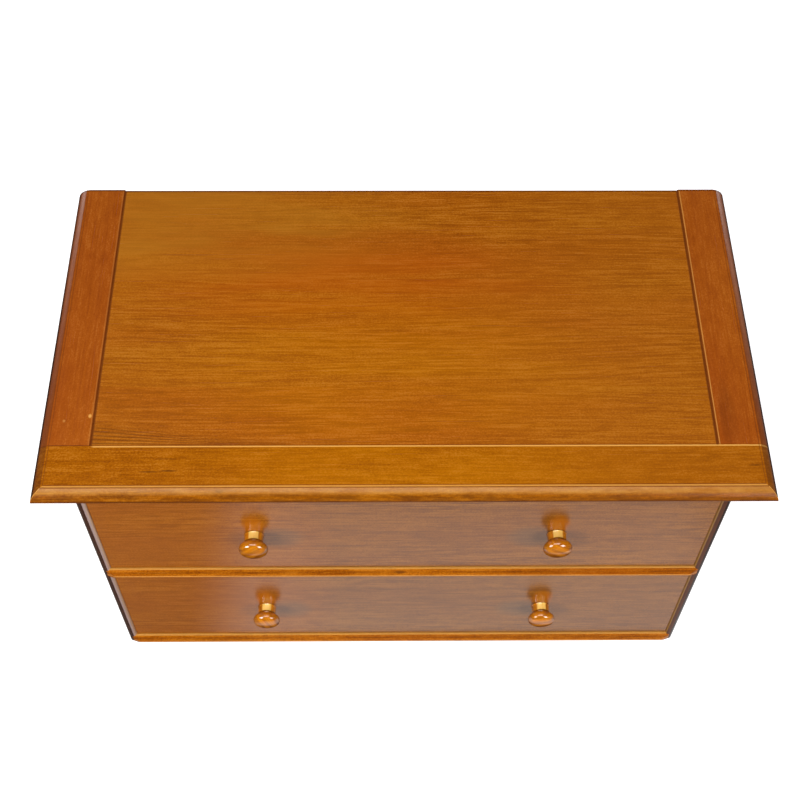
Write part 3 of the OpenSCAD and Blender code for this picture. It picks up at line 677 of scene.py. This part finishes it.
def knob_material(name, place, tilt):
    """Turned pine: growth layers cut at a slant, with painted shade at the sides, low down and in the
    creases, and paler on top of the neck, where flat grain and a painted highlight show.
    """
    graph = Graph(name)
    x = graph.maths("SUBTRACT", graph.x, place.x)
    y = graph.maths("SUBTRACT", graph.y, place.y)
    z = graph.maths("SUBTRACT", graph.z, place.z)
    wobble = graph.noise(graph.scaled(60.0, 60.0, 60.0))
    layers = graph.total(graph.product(x, sin(tilt)), graph.product(z, cos(tilt)), graph.product(y, 0.45),
                         graph.product(wobble, 9 * MM))
    year = graph.maths("FRACT", graph.maths("DIVIDE", layers, 11 * MM))
    late_wood = graph.ramp(year, (0.0, 0.4), (0.2, 0.0), (0.45, 0.1), (0.78, 1.0), (1.0, 0.4))
    fibre = graph.noise(graph.combine(graph.product(layers, 900.0), graph.product(graph.y, 60.0),
                                      graph.product(x, 60.0)), detail=3.0)
    tone = graph.blend(graph.span(fibre, 0.3, 0.7), KNOB_LIGHT, KNOB_WARM)
    tone = graph.blend(graph.product(late_wood, graph.span(z, -8 * MM, 12 * MM, 0.9, 0.35)), tone, KNOB_DARK)
    # Darker towards the sides of the head: painted shade
    tone = graph.blend(graph.span(graph.maths("ABSOLUTE", x), 11 * MM, 17 * MM, 0.0, 0.4), tone, STAIN_AND_SHADE)
    # Darker low on the knob: painted shade on the underside
    tone = graph.blend(graph.span(z, -9 * MM, 8 * MM, 0.7, 0.0), tone, STAIN_AND_SHADE)
    # Paler top of the neck: paler flat grain with a painted highlight
    pale_lit_neck_top = graph.product(graph.span(y, 0.4 * MM - NECK_LENGTH, 1.0 * MM - NECK_LENGTH),
                            graph.strip(x, -4.5 * MM, 5.0 * MM, 1.8 * MM), graph.span(z, 2 * MM, 5 * MM))
    tone = graph.blend(pale_lit_neck_top, tone, KNOB_PALE_LIT)
    # Dark lines where the neck meets the head and the drawer front: painted shade in the creases
    under_head = graph.strip(y, -0.6 * MM - NECK_LENGTH, -NECK_LENGTH, 0.5 * MM)
    crease_shade = graph.total(under_head, graph.span(y, -0.9 * MM, -0.3 * MM))
    tone = graph.blend(graph.product(crease_shade, 0.7), tone, STAIN_AND_SHADE)
    roughness = graph.span(fibre, 0.3, 0.7, 0.07, 0.11)
    normal = graph.bump(fibre, 0.08, 0.3 * MM)
    return graph.show(graph.shader(Base_Color=tone, Roughness=roughness, Normal=normal,
                                   IOR=graph.span(z, *UNDERSIDE, 1.03, 1.5),
                                   Specular_IOR_Level=graph.span(z, *UNDERSIDE, 0.08, 1.0)))


def knob(drawer, side, tilt):
    node = f"drawer_{drawer}_knob_{side}"
    low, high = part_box(node)
    place = Vector(((low.x + high.x) / 2, high.y, (low.z + high.z) / 2))
    mesh = turned(f"{node}_turned", place, knob_outline(high.y - low.y, (high.x - low.x) / 2))
    mesh.materials.append(knob_material(f"{node}_wood", place, tilt))
    piece = bpy.data.objects.new(f"{node}_turned", mesh)
    bpy.context.scene.collection.objects.link(piece)
    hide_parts(node)
    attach(piece, f"drawer_{drawer}")


# Small metal and plastic pieces
def metal(name, colour, scratched, roughness):
    """Zinc plate with fine scratches and a slight change of tone."""
    graph = Graph(name)
    grain = graph.noise(graph.scaled(700.0, 700.0, 700.0), detail=3.0)
    tone = graph.blend(graph.span(grain, 0.3, 0.7), colour, scratched)
    return graph.show(graph.shader(Base_Color=tone, Metallic=1.0,
                                   Roughness=graph.span(grain, 0.3, 0.7, roughness, roughness + 0.2)))


def plastic(name, colour, darker):
    """Matt moulded plastic with a fine grain."""
    graph = Graph(name)
    grain = graph.noise(graph.scaled(900.0, 900.0, 900.0), detail=2.0)
    tone = graph.blend(graph.span(grain, 0.3, 0.7), colour, darker)
    return graph.show(graph.shader(Base_Color=tone, Roughness=0.5, Normal=graph.bump(grain, 0.3, 0.2 * MM)))


def hardware():
    steel = metal("zinc_steel", (0.62, 0.61, 0.58, 1.0), (0.35, 0.34, 0.31, 1.0), 0.3)
    for node in NODES:
        if node.endswith("screws") or node.endswith("pins"):
            dress(node, steel)
    dress("glides", plastic("glide_plastic", srgb(62, 44, 32), srgb(40, 28, 20)))


# Floor
FLOOR_HALF = 6.0
FLOOR_GREY = (0.5, 0.5, 0.5, 1.0)
# The floor shines for the camera, a little less within this reach of the chest
FLOOR_GLOW = 0.85
GLOW_RADIUS = 1.3
# Gloss sees the floor glow as a painted pool of light, shaped like a sheet under and just in front of the
# chest: where its edges fade
GLOSS_POOL_LEFT = (-0.30, -0.18)
GLOSS_POOL_RIGHT = (0.38, 0.58)
GLOSS_POOL_FRONT = (-0.48, -0.40)


def floor():
    """White ground that keeps a shadow, and that glows for the gloss as a painted pool of light."""
    mesh = bpy.data.meshes.new("floor")
    far = FLOOR_HALF
    mesh.from_pydata([(-far, -far, 0), (far, -far, 0), (far, far, 0), (-far, far, 0)], [], [(0, 1, 2, 3)])
    plane = bpy.data.objects.new("floor", mesh)
    bpy.context.scene.collection.objects.link(plane)
    graph = Graph("floor_white")
    in_camera, in_gloss = graph.rays()
    near = graph.patch(graph.x, graph.y, (0.0, 0.0), (GLOW_RADIUS, GLOW_RADIUS))
    brightness = graph.span(near, 0.0, 1.0, 1.0, FLOOR_GLOW)
    seen = graph.node("ShaderNodeAddShader")
    graph.feed(seen.inputs[0], graph.shader(Base_Color=FLOOR_GREY, Roughness=0.9, Specular_IOR_Level=0.0))
    graph.feed(seen.inputs[1], graph.glow(graph.product(brightness, in_camera)))
    # Painted pool of light on the floor, seen only in gloss
    gloss_pool = graph.product(graph.span(graph.x, *GLOSS_POOL_LEFT, 0.14, 1.0, smooth=True),
                          graph.span(graph.x, *GLOSS_POOL_RIGHT, 1.0, 0.3, smooth=True),
                          graph.span(graph.y, *GLOSS_POOL_FRONT, 0.15, 1.0, smooth=True))
    mix = graph.node("ShaderNodeMixShader")
    graph.feed(mix.inputs[0], in_gloss)
    graph.feed(mix.inputs[1], seen.outputs[0])
    graph.feed(mix.inputs[2], graph.glow(gloss_pool))
    mesh.materials.append(graph.show(mix.outputs[0]))


# World: how far back a direction has to point to meet the white wall, and how low
WALL_BACK = (0.50, 0.62)
WALL_LOW = (0.2, 0.5)
# How bright the wall is outside gloss, and the dark room all round
WALL_LEVEL = 0.2
ROOM_LEVEL = 0.02


def world():
    """Dark room with a white wall behind that shows in gloss, and white where the camera looks."""
    surroundings = bpy.data.worlds.new("studio")
    surroundings.use_nodes = True
    sky = Tree(surroundings.node_tree)
    split = sky.node("ShaderNodeSeparateXYZ")
    sky.feed(split.inputs[0], sky.node("ShaderNodeTexCoord").outputs["Generated"])
    in_camera, in_gloss = sky.rays()
    behind = sky.span(split.outputs[1], *WALL_BACK, smooth=True)
    low_down = sky.fall(split.outputs[2], *WALL_LOW, smooth=True)
    wall = sky.product(behind, low_down, sky.maths("MAXIMUM", in_gloss, WALL_LEVEL))
    room = sky.maths("MAXIMUM", wall, ROOM_LEVEL)
    background = sky.tree.nodes["Background"]
    sky.feed(background.inputs["Color"], (1.0, 1.0, 1.0, 1.0))
    sky.feed(background.inputs["Strength"], sky.maths("MAXIMUM", room, in_camera))
    bpy.context.scene.world = surroundings


# Lamps: what they point at, and each lamp's name, place, aim, side and radiance
AT_TOP = (0.0, -0.05, 0.4)
AT_FRONT = (0.0, -0.18, 0.25)
LAMPS = [("overhead", (-0.2, -0.65, 2.45), AT_TOP, 2.0, 3.8),
         ("left_front", (-1.30, -1.50, 0.90), AT_FRONT, 0.8, 11.5),
         ("right_front", (1.10, -1.65, 0.88), AT_FRONT, 0.8, 9.6),
         ("left_rear", (-1.6, 2.0, 0.9), AT_TOP, 1.0, 4.0),
         ("right_rear", (1.6, 2.0, 0.9), AT_TOP, 1.0, 4.0)]


def softbox(name, place, aim, size, radiance):
    """Square lamp whose face shines evenly; its power follows from its size and radiance."""
    lamp = bpy.data.lights.new(name, "AREA")
    lamp.shape = "SQUARE"
    lamp.size = size
    lamp.energy = radiance * pi * size ** 2
    holder = bpy.data.objects.new(name, lamp)
    holder.location = place
    holder.rotation_euler = (Vector(aim) - Vector(place)).to_track_quat("-Z", "Y").to_euler()
    bpy.context.scene.collection.objects.link(holder)


# Camera, solved from the straight edges in the photograph
EYE = Vector((-0.0201, -0.9146, 1.7300))
PITCH = radians(56.952)
YAW = radians(1.069)
ROLL = radians(0.761)
SENSOR_MM = 36.0
FOCAL_PIXELS = 1335.2
PICTURE_PIXELS = 800


def camera():
    forward = Vector((sin(YAW) * cos(PITCH), cos(YAW) * cos(PITCH), -sin(PITCH)))
    right = Vector((cos(YAW), -sin(YAW), 0.0))
    up = right.cross(forward)
    turned_right = right * cos(ROLL) + up * sin(ROLL)
    turned_up = up * cos(ROLL) - right * sin(ROLL)
    lens = bpy.data.cameras.new("camera")
    lens.sensor_width = SENSOR_MM
    lens.lens = FOCAL_PIXELS * SENSOR_MM / PICTURE_PIXELS
    eye = bpy.data.objects.new("camera", lens)
    turn = Matrix((turned_right, turned_up, -forward)).transposed()
    eye.matrix_world = Matrix.Translation(EYE) @ turn.to_4x4()
    bpy.context.scene.collection.objects.link(eye)
    bpy.context.scene.camera = eye


top_boards()
top_front_rail()
top_stile("left", seed=8, painted_arris_pale_share=0.15, joint_share=0.8)
top_stile("right", seed=9, painted_arris_pale_share=0.5, joint_share=0.3)
side_panel("left", first_seed=11)
side_panel("right", first_seed=15)
nosed_rails()
bare_wood()
drawer_front("lower", seed=30)
drawer_front("upper", seed=31)
knob("upper", "left", tilt=radians(-40))
knob("upper", "right", tilt=radians(35))
knob("lower", "left", tilt=radians(70))
knob("lower", "right", tilt=radians(-20))
hardware()
floor()
world()
for settings in LAMPS:
    softbox(*settings)
camera()
bpy.context.scene.view_settings.view_transform = "Standard"
